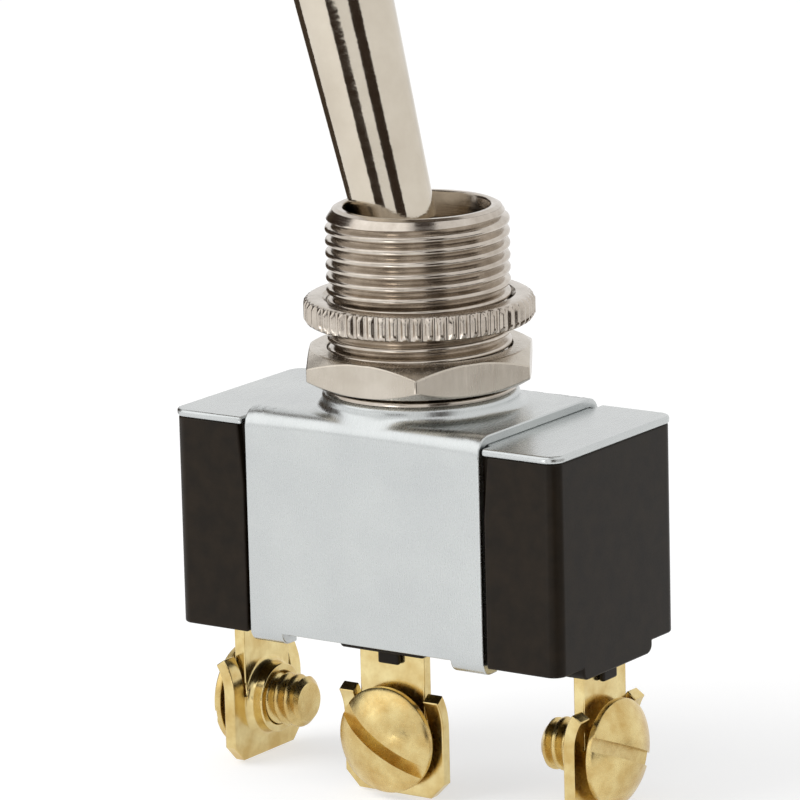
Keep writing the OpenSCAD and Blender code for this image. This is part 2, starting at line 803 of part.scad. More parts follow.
// A slotted binding-head screw. Its head's underside is at zero and its shank runs towards +Y.
module screw(slot_turn) {
    cap = head_ht - 0.45;
    cap_r = (head_r*head_r + cap*cap)/(2*cap);
    color([0.8, 0.66, 0.36])
    rotate([-90, 0, 0]) difference() {
        union() {
            translate([0, 0, -0.45]) cylinder(r = head_r, h = 0.45);
            intersection() {
                translate([0, 0, -head_ht]) cylinder(r = head_r, h = cap + 0.01);
                translate([0, 0, -head_ht + cap_r]) sphere(cap_r, $fn = 96);
            }
            rotate_extrude() polygon(concat(
                [[0, 0]], thread_rings(screw_d/2, screw_pitch, 0, screw_len - 0.3),
                [[screw_d/2 - 0.3, screw_len], [0, screw_len]]
            ));
        }
        // undercut beneath the head
        difference() {
            translate([0, 0, -0.2]) cylinder(r = head_r - 0.6, h = 0.2 + 0.01);
            translate([0, 0, -0.5]) cylinder(r = screw_d/2, h = 1);
        }
        rotate([0, 0, slot_turn])
            translate([-head_r - 1, -slot_wid/2, -head_ht - eps])
                cube([2*head_r + 2, slot_wid, slot_depth + eps]);
    }
}

module screw_left() {
    at_end(-1) translate([0, -screw_out, -screw_drop]) screw(slot_turns[0]);
}

module screw_centre() {
    translate([0, -term_y - screw_out, -screw_drop]) screw(slot_turns[1]);
}

module screw_right() {
    at_end(1) translate([0, -screw_out, -screw_drop]) screw(slot_turns[2]);
}

module hex_nut() {
    corner_r = hex_af/2/cos(30);
    face_r = hex_af/2 - 0.1;
    // the chamfer's cone runs on past the corners, so it cuts them cleanly
    past_r = corner_r + 0.2;
    chamfer_h = (past_r - face_r)*tan(30);
    color([0.76, 0.74, 0.7])
    translate([0, 0, hex_z]) difference() {
        intersection() {
            rotate([0, 0, hex_turn]) cylinder(r = corner_r, h = hex_t, $fn = 6);
            rotate_extrude($fn = 96) polygon([
                [0, 0], [face_r, 0], [past_r, chamfer_h],
                [past_r, hex_t - chamfer_h], [face_r, hex_t], [0, hex_t]
            ]);
        }
        translate([0, 0, -eps]) cylinder(r = nut_bore_r, h = hex_t + 2*eps, $fn = 96);
    }
}

// Plan of the ring nut's knurled edge, one tooth after another
module knurled_disc() {
    tip = ring_d/2;
    root = tip - knurl_depth;
    step = 360/knurls;
    polygon([
        for (i = [0:knurls - 1], p = [[root, 0.2], [tip, 0.35], [tip, 0.65], [root, 0.8]])
            p[0]*[cos((i + p[1])*step), sin((i + p[1])*step)]
    ]);
}

module ring_nut() {
    // the bevel goes in a little deeper than the knurl does
    bevel = knurl_depth + 0.08;
    past_r = ring_d/2 + 0.05;
    color([0.78, 0.76, 0.72])
    translate([0, 0, ring_z]) difference() {
        intersection() {
            linear_extrude(ring_t) knurled_disc();
            rotate_extrude($fn = 96) polygon([
                [0, 0], [past_r - bevel, 0], [past_r, bevel], [past_r, ring_t - bevel],
                [past_r - bevel, ring_t], [0, ring_t]
            ]);
        }
        translate([0, 0, -eps]) cylinder(r = nut_bore_r, h = ring_t + 2*eps, $fn = 96);
    }
}

base();
insulator();
cover_plate();
strap();
bushing();
lever();
pivot_pin();
plunger_spring();
plunger();
rocker();
rocker_contact_left();
rocker_contact_right();
fixed_contact_left();
fixed_contact_right();
terminal_left();
terminal_centre();
terminal_right();
screw_left();
screw_centre();
screw_right();
hex_nut();
ring_nut();
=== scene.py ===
# %% [markdown]
# # A panel toggle switch
# The switch is already built as solids, in metres, with +Z along the bushing's axis and zero on
# the strap's top face. This lesson dresses it: a few helpers, then the finishes, then each piece
# with its threads, knurl or softened edges, then a small studio and the camera. Lengths are
# written in millimetres and scaled once, where a mesh is made.

# %% Load the solids
import json
import math

import bmesh
import bpy
import numpy as np
from mathutils import Matrix, Vector

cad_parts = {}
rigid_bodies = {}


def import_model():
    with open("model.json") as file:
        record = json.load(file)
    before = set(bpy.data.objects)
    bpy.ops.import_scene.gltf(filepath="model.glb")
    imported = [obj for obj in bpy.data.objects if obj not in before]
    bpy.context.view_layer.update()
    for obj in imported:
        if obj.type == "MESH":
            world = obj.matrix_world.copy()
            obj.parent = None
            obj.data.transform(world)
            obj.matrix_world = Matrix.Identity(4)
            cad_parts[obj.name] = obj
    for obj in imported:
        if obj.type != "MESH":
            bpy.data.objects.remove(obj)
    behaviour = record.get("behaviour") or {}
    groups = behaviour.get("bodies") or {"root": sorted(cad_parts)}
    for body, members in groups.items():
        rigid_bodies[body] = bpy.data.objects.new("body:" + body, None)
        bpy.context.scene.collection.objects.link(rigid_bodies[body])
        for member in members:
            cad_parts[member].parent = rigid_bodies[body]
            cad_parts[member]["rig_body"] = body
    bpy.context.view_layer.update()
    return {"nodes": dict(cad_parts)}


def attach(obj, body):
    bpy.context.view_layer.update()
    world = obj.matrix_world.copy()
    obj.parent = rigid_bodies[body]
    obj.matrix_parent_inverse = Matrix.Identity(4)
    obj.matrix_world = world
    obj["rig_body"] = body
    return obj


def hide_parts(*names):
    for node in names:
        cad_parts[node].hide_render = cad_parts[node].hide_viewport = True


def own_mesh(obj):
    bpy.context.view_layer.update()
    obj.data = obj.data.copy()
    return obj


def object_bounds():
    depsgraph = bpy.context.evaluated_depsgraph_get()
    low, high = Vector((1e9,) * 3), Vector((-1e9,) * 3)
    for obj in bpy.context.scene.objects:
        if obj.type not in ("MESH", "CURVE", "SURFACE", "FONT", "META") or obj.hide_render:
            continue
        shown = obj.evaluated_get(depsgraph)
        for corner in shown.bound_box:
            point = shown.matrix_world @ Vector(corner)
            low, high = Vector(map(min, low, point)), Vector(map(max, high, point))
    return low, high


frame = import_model()
MM = 0.001
body_of = {node: solid["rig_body"] for node, solid in frame["nodes"].items()}

# %% [markdown]
# ## Making a mesh from a grid
# A turned or swept surface is a rectangle of points that has been bent round. One helper joins
# the neighbours of such a grid, shaped (rows, columns, 3), with four-sided faces. A pole is a row
# whose points all coincide, and a seam is a last column that lies on the first. Merging doubles
# closes both, and only then are the normals turned outwards.

# %% Faces of a grid
def grid_faces(rows, columns):
    """Quads between neighbours of a rows x columns grid: index = row * columns + column."""
    r, c = np.meshgrid(np.arange(rows - 1), np.arange(columns - 1), indexing="ij")
    first = (r * columns + c).ravel()
    return np.stack([first, first + 1, first + columns + 1, first + columns], axis=1)


print("a grid of 3 x 3 points has", len(grid_faces(3, 3)), "faces")

# %% Weld and shade
WELD = 2e-7  # metres: points nearer than this are one point


def in_scene(name, data):
    """A new object in the scene, at the origin, unturned and unscaled."""
    made = bpy.data.objects.new(name, data)
    bpy.context.scene.collection.objects.link(made)
    return made


def shade(mesh, sharp_angle):
    """Smooth shading that breaks at edges sharper than an angle in degrees."""
    mesh.shade_smooth()
    mesh.set_sharp_from_angle(angle=math.radians(sharp_angle))


def mesh_from(name, points, faces, matrix=None, sharp_angle=35):
    """A closed piece: millimetre points are placed by the matrix, scaled to metres, welded where
    they meet and turned outwards."""
    points = np.asarray(points, float)
    if matrix is not None:
        m = np.array(matrix)
        points = points @ m[:3, :3].T + m[:3, 3]
    corners = faces if isinstance(faces, list) else faces.tolist()
    mesh = bpy.data.meshes.new(name)
    mesh.from_pydata((points * MM).tolist(), [], corners)
    work = bmesh.new()
    work.from_mesh(mesh)
    bmesh.ops.remove_doubles(work, verts=work.verts, dist=WELD)
    bmesh.ops.recalc_face_normals(work, faces=work.faces)
    work.to_mesh(mesh)
    work.free()
    shade(mesh, sharp_angle)
    return in_scene(name, mesh)


print("points nearer than", WELD / MM * 1000, "micrometres are welded")

# %% [markdown]
# ## Dressing a solid
# Every mesh made here stands for one of the solids. It rides on the same moving body, hides the
# solid and wears the finish that the real piece has.

# %% Dress
def dress(piece, node, material):
    """The piece takes a solid's place on its body, with the given finish."""
    piece.data.materials.clear()
    piece.data.materials.append(material)
    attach(piece, body_of[node])
    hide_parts(node)
    print(piece.name, "stands for", node, "on", body_of[node])


# %% [markdown]
# ## Turned shapes
# A lathe makes a shape by sweeping a profile round an axis: x = r(t) cos a, y = r(t) sin a,
# z = z(t). The profile is a list of corners, and a corner may carry a radius, so that every
# edge gets the small round that tumbling and plating leave on real turned brass.

# %% Profiles
def rounded(corners, steps=5):
    """A polyline whose corners (r, z, radius) become short curves between two tangent points T1
    and T2: (1-s)^2 T1 + 2s(1-s) corner + s^2 T2. A corner without a radius stays sharp."""
    c = np.array([(*p, 0.0)[:3] for p in corners], float)
    s = np.linspace(0, 1, steps + 1)[:, None]
    out = []
    for i, (r, z, radius) in enumerate(c):
        here = np.array([r, z])
        if radius <= 0 or i in (0, len(c) - 1):
            out.append(here[None])
            continue
        a, b = c[i - 1, :2] - here, c[i + 1, :2] - here
        long_a, long_b = np.linalg.norm(a), np.linalg.norm(b)
        ua, ub = a / long_a, b / long_b
        half_angle = math.acos(np.clip(ua @ ub, -1, 1)) / 2
        # never past the middle of a side, so that two rounds can't overlap
        back = min(radius / math.tan(half_angle), 0.48 * long_a, 0.48 * long_b)
        start, end = here + ua * back, here + ub * back
        out.append((1 - s) ** 2 * start + 2 * s * (1 - s) * here + s ** 2 * end)
    return np.concatenate(out)


def arc(centre, radius, start, end, steps=24):
    """Points of a circle in the (r, z) plane between two angles in degrees."""
    a = np.radians(np.linspace(start, end, steps + 1))
    return np.stack([centre[0] + radius * np.cos(a), centre[1] + radius * np.sin(a)], axis=1)


print("a rounded corner takes", len(rounded([(0, 0), (1, 0, 0.1), (1, 1)])) - 2, "points")

# %% The lathe
ROUND_SIDES = 144


def lathe(profile, sides=ROUND_SIDES):
    """Grid of a turned surface: each profile point (r, z) swept through a whole turn."""
    a = np.linspace(0, 2 * np.pi, sides + 1)
    r, z = profile[:, 0][:, None], profile[:, 1][:, None]
    return np.stack([r * np.cos(a), r * np.sin(a), z + 0 * a], axis=2)


def sweep(grid):
    """(points, faces) of one grid."""
    return grid.reshape(-1, 3), grid_faces(*grid.shape[:2])


print("a turned side is", round(360 / ROUND_SIDES, 2), "degrees wide")

# %% [markdown]
# ## Screw threads
# The bushing has a 32-to-the-inch thread, so one ridge every 0.794 mm. Bump mapping would leave
# a smooth outline, so the thread is real geometry. The rows of its grid climb with the helix,
# z = pitch * (turn + place + a / 2 pi), so crests and roots follow grid lines exactly, and the
# last column lands on the first one, one turn further up. Plating has rounded the crests over,
# and the roots stay narrow. The thread is a sleeve of its own round a plain turned core, so the
# milled cuts, which are made in the core, never have to be worked out through the helix.

# %% A thread as a grid
PITCH = 25.4 / 32
THREAD_DEPTH = 0.6134 * PITCH
# places within one pitch, from crest to crest, and how far towards the root the surface is there
PLACE = np.array([0.0, 0.09, 0.17, 0.25, 0.36, 0.45, 0.5, 0.55, 0.64, 0.75, 0.83, 0.91])
DOWN = np.array([0.0, 0.02, 0.09, 0.28, 0.64, 0.93, 1.0, 0.93, 0.64, 0.28, 0.09, 0.02])
# two columns close together on either side give the key its upright walls
KEY_EDGE = np.array([-1.002, -1, 1, 1.002])


def thread(crest_r, inner_r, envelope, low, high, sides=ROUND_SIDES, depth=THREAD_DEPTH, key=None):
    """Grid of a threaded sleeve between two levels: r = min(envelope(z), crest - depth * w), where
    w is 0 on the round crest, rises down the flanks and is 1 in the root, once every pitch. A key
    of (half width, floor) flattens the -X side: r = min(r, floor / |cos a|) inside its width."""
    turns = np.arange(math.floor(low / PITCH) - 2, math.ceil(high / PITCH) + 1)
    level = (turns[:, None] + PLACE[None]).ravel()
    a = np.linspace(0, 2 * np.pi, sides + 1)
    if key:
        edge = math.asin(key[0] / crest_r)
        a = np.sort(np.append(a, np.pi + edge * KEY_EDGE))
    z = np.clip(PITCH * (level[:, None] + a[None] / (2 * np.pi)), low, high)
    w = np.interp(z / PITCH - a[None] / (2 * np.pi), PLACE, DOWN, period=1.0)
    r = np.minimum(envelope(z), crest_r - depth * w)
    if key:
        inside = np.abs(a - np.pi) < edge * 1.001
        r = np.where(inside[None], np.minimum(r, key[1] / np.abs(np.cos(a))[None]), r)
    # a lower wall, an upper wall and the inside close the sleeve
    wall = np.full((1, len(a)), float(inner_r))
    r = np.concatenate([wall, r, wall, wall])
    foot, top = np.full_like(wall, low), np.full_like(wall, high)
    z = np.concatenate([foot, z, top, foot])
    return np.stack([r * np.cos(a), r * np.sin(a), z], axis=2)


print("thread pitch and depth, mm:", round(PITCH, 4), round(THREAD_DEPTH, 4))

# %% Core and sleeve as one piece
def with_sleeve(piece, sleeve):
    """Adds a threaded sleeve's mesh to a core's mesh and forgets the sleeve's own object."""
    work = bmesh.new()
    work.from_mesh(piece.data)
    work.from_mesh(sleeve.data)
    work.to_mesh(piece.data)
    work.free()
    bpy.data.objects.remove(sleeve)
    print(piece.name, "faces with its thread:", len(piece.data.polygons))
    return piece


# %% [markdown]
# ## Cutting slots and keyways
# A keyway or a screw slot is milled straight across a turned piece. Its walls cross the turned
# grid at odd places, so it isn't drawn into the grid: a Boolean modifier does what the milling
# cutter does. A closed prism is taken away, and the result is kept as the piece's mesh.

# %% Prisms as cutters
def cut(piece, outline, low, high, matrix=None):
    """Takes a prism out of a piece: an outline (x, y) carried straight from low to high along z,
    and then placed by the matrix."""
    n = len(outline)
    points = [(x, y, z) for z in (low, high) for x, y in outline]
    ring = list(range(n))
    faces = [ring[::-1], [i + n for i in ring]]
    faces += [[i, (i + 1) % n, (i + 1) % n + n, i + n] for i in ring]
    cutter = mesh_from("cutter", points, faces, matrix)
    step = piece.modifiers.new("cut", "BOOLEAN")
    step.operation, step.solver, step.object = "DIFFERENCE", "EXACT", cutter
    bpy.context.view_layer.update()
    graph = bpy.context.evaluated_depsgraph_get()
    done = bpy.data.meshes.new_from_object(piece.evaluated_get(graph))
    print(piece.name, "faces before and after:", len(piece.data.polygons), len(done.polygons))
    piece.modifiers.clear()
    piece.data = done
    bpy.data.objects.remove(cutter)
    shade(done, 35)


def box_outline(x0, x1, y0, y1):
    """The corners of a rectangle, in turn."""
    return [(x0, y0), (x1, y0), (x1, y1), (x0, y1)]


# %% [markdown]
# ## Soft edges on sheet metal and mouldings
# The plate, terminals, nut and base already have the right form as solids, but their edges are
# knife sharp. A copy of the solid is welded, its flat faces are merged into single polygons, and
# a Bevel modifier rolls the edges over as blanking and moulding do. Modelling each round by hand
# would give the same look for far more work.

# %% Rolled edges
def roll_edges(piece, width, angle=50):
    """Bevels the edges sharper than `angle` and then weights the normals by face area, so that
    flat faces stay flat beside the rounds."""
    bevel = piece.modifiers.new("edge", "BEVEL")
    bevel.width, bevel.segments, bevel.limit_method = width * MM, 3, "ANGLE"
    bevel.angle_limit, bevel.use_clamp_overlap = math.radians(angle), False
    weight = piece.modifiers.new("flat_faces", "WEIGHTED_NORMAL")
    weight.mode, weight.keep_sharp = "FACE_AREA", True
    print(piece.name, "edges rolled over by", width, "mm")


# %% Softened copies
SOLID_WELD = 2e-6     # metres: the solids' loose triangles meet within this
SAME_PLANE = 0.6      # degrees: triangles flatter than this are one face
SOLID_SHARP = 28      # degrees: between the facets of a round and a real edge


def softened(node, material, width, angle=50):
    """A copy of a solid whose sharp edges are rounded by `width` millimetres."""
    source = frame["nodes"][node].data
    co = np.empty(len(source.vertices) * 3, np.float32)
    source.vertices.foreach_get("co", co)
    triangles = [list(p.vertices) for p in source.polygons]
    mesh = bpy.data.meshes.new(node + "_soft")
    mesh.from_pydata(co.reshape(-1, 3).tolist(), [], triangles)
    work = bmesh.new()
    work.from_mesh(mesh)
    bmesh.ops.remove_doubles(work, verts=work.verts, dist=SOLID_WELD)
    bmesh.ops.dissolve_limit(work, angle_limit=math.radians(SAME_PLANE), verts=work.verts,
                             edges=work.edges, use_dissolve_boundaries=False)
    work.to_mesh(mesh)
    work.free()
    shade(mesh, SOLID_SHARP)
    piece = in_scene(node + "_soft", mesh)
    roll_edges(piece, width, angle)
    dress(piece, node, material)


# %% [markdown]
# ## Finishes
# Every finish starts from a Principled shader. Its colour, roughness and height then wander with
# noise whose size is that of a real cause: rolling lines, turning rings, cloudy plating, filler
# in a moulding. Patterns read Object coordinates, and each scale is one over a real length.

# %% Node helper and colours
def add(tree, kind, links=None, **settings):
    """Adds a node, sets its settings, then fills or links its input sockets."""
    made = tree.nodes.new(kind)
    for key, value in settings.items():
        setattr(made, key, value)
    for key, value in (links or {}).items():
        if isinstance(value, bpy.types.NodeSocket):
            tree.links.new(value, made.inputs[key])
        else:
            made.inputs[key].default_value = value
    return made


def linear(hex_colour):
    """sRGB hex to the linear RGBA that shader sockets take."""
    c = np.array([int(hex_colour[i:i + 2], 16) for i in (1, 3, 5)]) / 255
    c = np.where(c <= 0.04045, c / 12.92, ((c + 0.055) / 1.055) ** 2.4)
    return (*c.tolist(), 1.0)


print("middle grey in linear light:", round(linear("#808080")[0], 3))

# %% One finish
def finish(name, dark, light, rough, cloud_mm, grain_mm, grain_um, metallic=1.0):
    """A material: two tones mixed by soft clouds cloud_mm across, roughness between two values,
    and a grain of three sizes in millimetres, along x, y and z, that is grain_um micrometres high."""
    material = bpy.data.materials.new(name)
    material.use_nodes = True
    tree = material.node_tree
    shader = tree.nodes["Principled BSDF"]
    where = add(tree, "ShaderNodeTexCoord").outputs["Object"]
    clouds = add(tree, "ShaderNodeTexNoise", {
        "Vector": where, "Scale": 1 / (cloud_mm * MM), "Detail": 4.0, "Roughness": 0.55})
    stretched = add(tree, "ShaderNodeMapping", {
        "Vector": where, "Scale": [1 / (g * MM) for g in grain_mm]})
    grain = add(tree, "ShaderNodeTexNoise", {
        "Vector": stretched.outputs["Vector"], "Scale": 1.0, "Detail": 3.0, "Roughness": 0.6})
    tone = add(tree, "ShaderNodeValToRGB", {"Fac": clouds.outputs["Fac"]})
    for stop, position, colour in zip(tone.color_ramp.elements, (0.32, 0.68), (dark, light)):
        stop.position, stop.color = position, linear(colour)
    gloss = add(tree, "ShaderNodeMapRange", {
        "Value": grain.outputs["Fac"], "From Min": 0.3, "From Max": 0.7,
        "To Min": rough[0], "To Max": rough[1]})
    height = add(tree, "ShaderNodeBump", {
        "Height": grain.outputs["Fac"], "Strength": 1.0, "Distance": grain_um * 1e-6})
    tree.links.new(tone.outputs["Color"], shader.inputs["Base Color"])
    tree.links.new(gloss.outputs["Result"], shader.inputs["Roughness"])
    tree.links.new(height.outputs["Normal"], shader.inputs["Normal"])
    shader.inputs["Metallic"].default_value = metallic
    print("finish:", name)
    return material


# %% [markdown]
# ## Nickel plate
# The lever, bushing and nuts are brass under bright nickel. The plate is warm grey and copies the
# metal below it, so the three differ by how that metal was worked and not by colour alone. The
# turned finish is also painted darker, as painted shade for its threads and knurl.

# %% Nickel finishes
# Bright nickel on a polished bat. It mirrors the room, and faint ripples left by the polishing
# wheel break the edges of its reflections. Real ones are near 0.1 mm: drawn 0.35 mm high to show.
polished_nickel = finish("polished_nickel_plate", "#C3B9A9", "#D0C7B8", (0.06, 0.12), cloud_mm=4,
                         grain_mm=(0.6, 0.6, 0.35), grain_um=7.0)
# Bright nickel over fresh turning marks. The rings, 0.12 mm apart, smear reflections up and down.
# Real feed marks are half that: drawn twice as coarse to show. Its colour is painted darker and
# greyer than the polished bat's, as painted shade for the thread's roots and the knurl's hollows.
turned_nickel_painted_shade = finish("turned_nickel_plate_painted_shade", "#AFA599", "#CAC1B6", (0.14, 0.24), cloud_mm=1.6,
                       grain_mm=(6.0, 6.0, 0.12), grain_um=1.5)
# Nickel on drawn hexagon bar. The die leaves lines along the bar, so the flats are satin. Real
# lines are a few hundredths of a millimetre wide: drawn 0.4 mm wide to show.
drawn_nickel = finish("nickel_plated_hex_bar", "#B9B0A3", "#C8C0B4", (0.18, 0.3), cloud_mm=2.5,
                      grain_mm=(0.4, 0.4, 4.0), grain_um=1.2)

# %% [markdown]
# ## Plated steel, moulding and fibre
# The strap and the cover plate are cold-rolled steel with zinc plating. The base is pressed from
# phenolic powder in a hot mould, and the insulator is stamped from a sheet of hard fibre.

# %% Zinc, phenolic and fibre finishes
# Zinc plate with a clear passivate: pale, a trace of blue-green, satin. Lines from rolling the
# sheet run over the strap's folds and down its legs, 0.15 mm apart, coarser than real ones.
zinc_sheet = finish("zinc_plated_steel", "#C1C4C4", "#C9CCCB", (0.24, 0.31), cloud_mm=6.0,
                    grain_mm=(0.15, 2.5, 0.6), grain_um=0.8)
# Phenolic: dark brown-black with a dull gloss, and faint mottling from its wood-flour filler,
# whose grains are about 0.12 mm.
phenolic = finish("moulded_phenolic", "#1B140B", "#261D12", (0.36, 0.46), cloud_mm=1.2,
                  grain_mm=(0.12, 0.12, 0.12), grain_um=2.0, metallic=0.0)
phenolic.node_tree.nodes["Principled BSDF"].inputs["Specular IOR Level"].default_value = 0.17
# Vulcanised fibre: paper pressed hard, matt, with fibres near 0.9 mm long lying in the sheet.
vulcanised_fibre = finish("vulcanised_fibre", "#3A2A22", "#4B372C", (0.6, 0.75), cloud_mm=0.9,
                          grain_mm=(0.9, 0.12, 0.12), grain_um=8.0, metallic=0.0)

# %% [markdown]
# ## Brass
# Terminals and screws are bare brass. The terminals are stamped from bright rolled strip, and the
# screws are turned and then tumbled in a barrel, which leaves them duller.

# %% Brass finishes
# Rolled brass strip: bright and pale, with rolling lines down the strip, 0.2 mm apart. Real lines
# are finer: drawn coarse enough to show.
sheet_brass = finish("stamped_brass", "#CDB071", "#E8D69E", (0.14, 0.26), cloud_mm=1.6,
                     grain_mm=(0.2, 0.2, 2.0), grain_um=2.0)
# Turned and tumbled brass: satin, deeper in colour, with small dents about 0.25 mm across.
turned_brass = finish("turned_brass", "#C6A768", "#E0CB90", (0.22, 0.34), cloud_mm=1.4,
                      grain_mm=(0.25, 0.25, 0.25), grain_um=2.5)

# %% [markdown]
# ## Finishes inside the housing
# These pieces show only when the housing is taken away, and they are finished all the same.

# %% Inside finishes
# Drawn steel for the spring wire and the pin: grey, half bright, with lines from the die.
spring_steel = finish("spring_steel", "#7F8082", "#9A9C9E", (0.2, 0.32), cloud_mm=1.0,
                      grain_mm=(0.1, 0.1, 0.8), grain_um=1.0)
# Natural nylon for the plunger: cream, waxy, with the fine texture of its mould.
moulded_nylon = finish("moulded_nylon", "#D9D2BF", "#E6E0D0", (0.38, 0.5), cloud_mm=1.5,
                       grain_mm=(0.2, 0.2, 0.2), grain_um=1.5, metallic=0.0)
# Rolled copper alloy for the rocker: salmon red, with rolling lines along its length.
copper_strip = finish("rolled_copper", "#B0694A", "#C98263", (0.2, 0.34), cloud_mm=1.6,
                      grain_mm=(2.0, 0.15, 0.3), grain_um=1.2)
# Silver contacts, coined to shape: nearly white, satin, pitted at 0.15 mm.
contact_silver = finish("contact_silver", "#BEBDB8", "#D8D7D3", (0.22, 0.36), cloud_mm=0.6,
                        grain_mm=(0.15, 0.15, 0.15), grain_um=2.0)

# %% [markdown]
# ## The bushing
# A brass screw-machine part: a foot staked into the strap, a thin flange, thread relief, thread, a
# broad chamfer on top and a flared mouth that the lever swings in. The core is turned from one
# profile. The keyway on its left and the two blind grooves that hold the pivot pin are milled
# out of it, and the threaded sleeve goes round it last, with the keyway's flat in its own grid.

# %% Bushing's measures
THREAD_R, RELIEF_R, CORE_R, HOLE_R, BORE_R = 11.906 / 2, 5.453, 5.35, 5.2, 3.66
THREAD_FOOT, THREAD_TOP = 2.0, 12.85
KEY_HALF, KEY_DEPTH = 0.9, 0.75
KEY_SKIN = 0.015      # the sleeve's flat stands this proud of the core's, so they share no plane
GROOVE_HALF, GROOVE_REACH = 0.95, 4.75
PIVOT_Z = 5.3
print("bushing:", round(2 * THREAD_R, 3), "mm over its thread, pivot at", PIVOT_Z, "mm")


def bushing_envelope(z):
    """The bar before threading: relief, lead-in, full size, then the top chamfer."""
    return np.interp(z, [THREAD_FOOT, 2.25, 12.1, THREAD_TOP],
                     [RELIEF_R, THREAD_R, THREAD_R, RELIEF_R])


# %% Bushing
core = rounded([
    # staked foot
    (BORE_R, -0.1), (CORE_R, -0.1), (5.55, 0.2, 0.1), (5.55, 0.4, 0.05),
    # through the strap's hole, then the flange
    (HOLE_R, 0.4), (HOLE_R, 1.0), (6.2, 1.0, 0.08), (6.2, 1.28, 0.1),
    # step and thread relief
    (5.7, 1.34, 0.1), (5.6, 1.58, 0.05), (RELIEF_R, 1.62), (RELIEF_R, 2.1),
    # inside the sleeve, then the top
    (CORE_R, 2.12), (CORE_R, 12.84), (5.45, 12.86), (5.15, 13.0, 0.15),
    # mouth and bore
    (4.75, 13.0, 0.35), (4.25, 9.5, 0.3), (BORE_R, 8.6, 0.2), (BORE_R, -0.1)])
bushing = mesh_from("bushing_threaded", *sweep(lathe(core)))
cut(bushing, box_outline(-7.5, -THREAD_R + KEY_DEPTH, -KEY_HALF, KEY_HALF), 1.7, 14)
groove = [(-GROOVE_HALF, -1.0), (GROOVE_HALF, -1.0), (GROOVE_HALF, PIVOT_Z)]
groove += [tuple(p) for p in arc((0, PIVOT_Z), GROOVE_HALF, 0, 180, 16)[1:]]
for turn in (0, math.pi):
    upright = Matrix.Rotation(turn, 4, "Z") @ Matrix.Rotation(math.pi / 2, 4, "X")
    cut(bushing, groove, -GROOVE_REACH, 0.0, upright)
sleeve = thread(THREAD_R, 5.0, bushing_envelope, THREAD_FOOT, THREAD_TOP,
                key=(KEY_HALF, THREAD_R - KEY_DEPTH + KEY_SKIN))
with_sleeve(bushing, mesh_from("sleeve", *sweep(sleeve)))
# the bushing's nickel is painted darker, as painted shade in its thread
dress(bushing, "bushing", turned_nickel_painted_shade)

# %% [markdown]
# ## The lever
# One turned brass piece: bat, shoulder, neck, ball and a hollow tail. Its outline is drawn
# upright about the pivot, where every run is a straight line or an arc, and the whole piece then
# leans 14.3 degrees to where it rests. The pin's hole is drilled through the ball.

# %% Lever
LEAN = math.radians(14.3)
BALL_R, NECK_R, TAIL_R, SOCKET_R, PIN_HOLE_R = 3.6, 1.9, 2.1, 1.5, 0.91
BAT_LOW_R, BAT_TOP_R, BAT_END_Z, SHOULDER_R = 2.65, 3.2, 22.8, 1.2
on_lever = Matrix.Translation((0, 0, PIVOT_Z)) @ Matrix.Rotation(-LEAN, 4, "Y")
ball_low = -math.degrees(math.acos(TAIL_R / BALL_R))
ball_high = math.degrees(math.acos(NECK_R / BALL_R))
up_bat = np.linspace(0, 1, 9)[:, None]
lever_outline = np.concatenate([
    rounded([(0, -1.5), (SOCKET_R, -1.5), (SOCKET_R, -8, 0.1), (TAIL_R, -8, 0.2), (TAIL_R, -3.0)]),
    arc((0, 0), BALL_R, ball_low, ball_high, 28),
    rounded([(NECK_R, 3.1), (NECK_R, 5.5, 0.05), (2.0, 5.5)]),
    arc((BAT_LOW_R - SHOULDER_R, 6.7), SHOULDER_R, -62, -2, 10),
    (1 - up_bat) * [BAT_LOW_R, 6.8] + up_bat * [BAT_TOP_R, BAT_END_Z],
    arc((0, BAT_END_Z), BAT_TOP_R, 0, 90, 24)[1:]])
lever = mesh_from("bat_lever", *sweep(lathe(lever_outline, 160)), matrix=on_lever, sharp_angle=50)
pin_hole = [tuple(p) for p in arc((0, 0), PIN_HOLE_R, 0, 360, 32)[:-1]]
cut(lever, pin_hole, -5, 5, on_lever @ Matrix.Rotation(math.pi / 2, 4, "X"))
dress(lever, "lever", polished_nickel)

# %% [markdown]
# ## The knurled ring nut
# Straight knurling presses sixty ridges round the rim. Sixty cut copies of one tooth would look
# too even, so the rim's radius goes round as one row of soft-shouldered ridges, each with its own
# height and lean. Both ends are bevelled below the roots, as a lathe leaves them.

# %% Knurl
RIDGES, RIDGE_TIP_R, RIDGE_ROOT_R = 60, 7.5, 7.22
# places along one ridge's share of the rim, and the height there
RIDGE_PLACE = np.array([0.0, 0.1, 0.2, 0.32, 0.44, 0.56, 0.68, 0.8, 0.9])
RIDGE_HEIGHT = np.array([0.0, 0.0, 0.2, 0.75, 1.0, 1.0, 0.75, 0.2, 0.0])


def knurl(ridges, tip, root):
    """Angles and radii round a knurled rim: r = root + (tip - root) * height * ridge's share."""
    uneven = np.random.default_rng(7)
    full = uneven.uniform(0.72, 1.0, ridges)[:, None]
    shift = uneven.uniform(-0.06, 0.06, ridges)[:, None] * RIDGE_HEIGHT[None]
    r = root + (tip - root) * RIDGE_HEIGHT[None] * full
    a = (np.arange(ridges)[:, None] + RIDGE_PLACE[None] + shift) * 2 * np.pi / ridges
    return np.append(a.ravel(), a[0, 0] + 2 * np.pi), np.append(r.ravel(), r[0, 0])


ring_a, ring_r = knurl(RIDGES, RIDGE_TIP_R, RIDGE_ROOT_R)
print("knurl:", RIDGES, "ridges,", round(float(ring_r.max() - ring_r.min()), 3), "mm high at most")

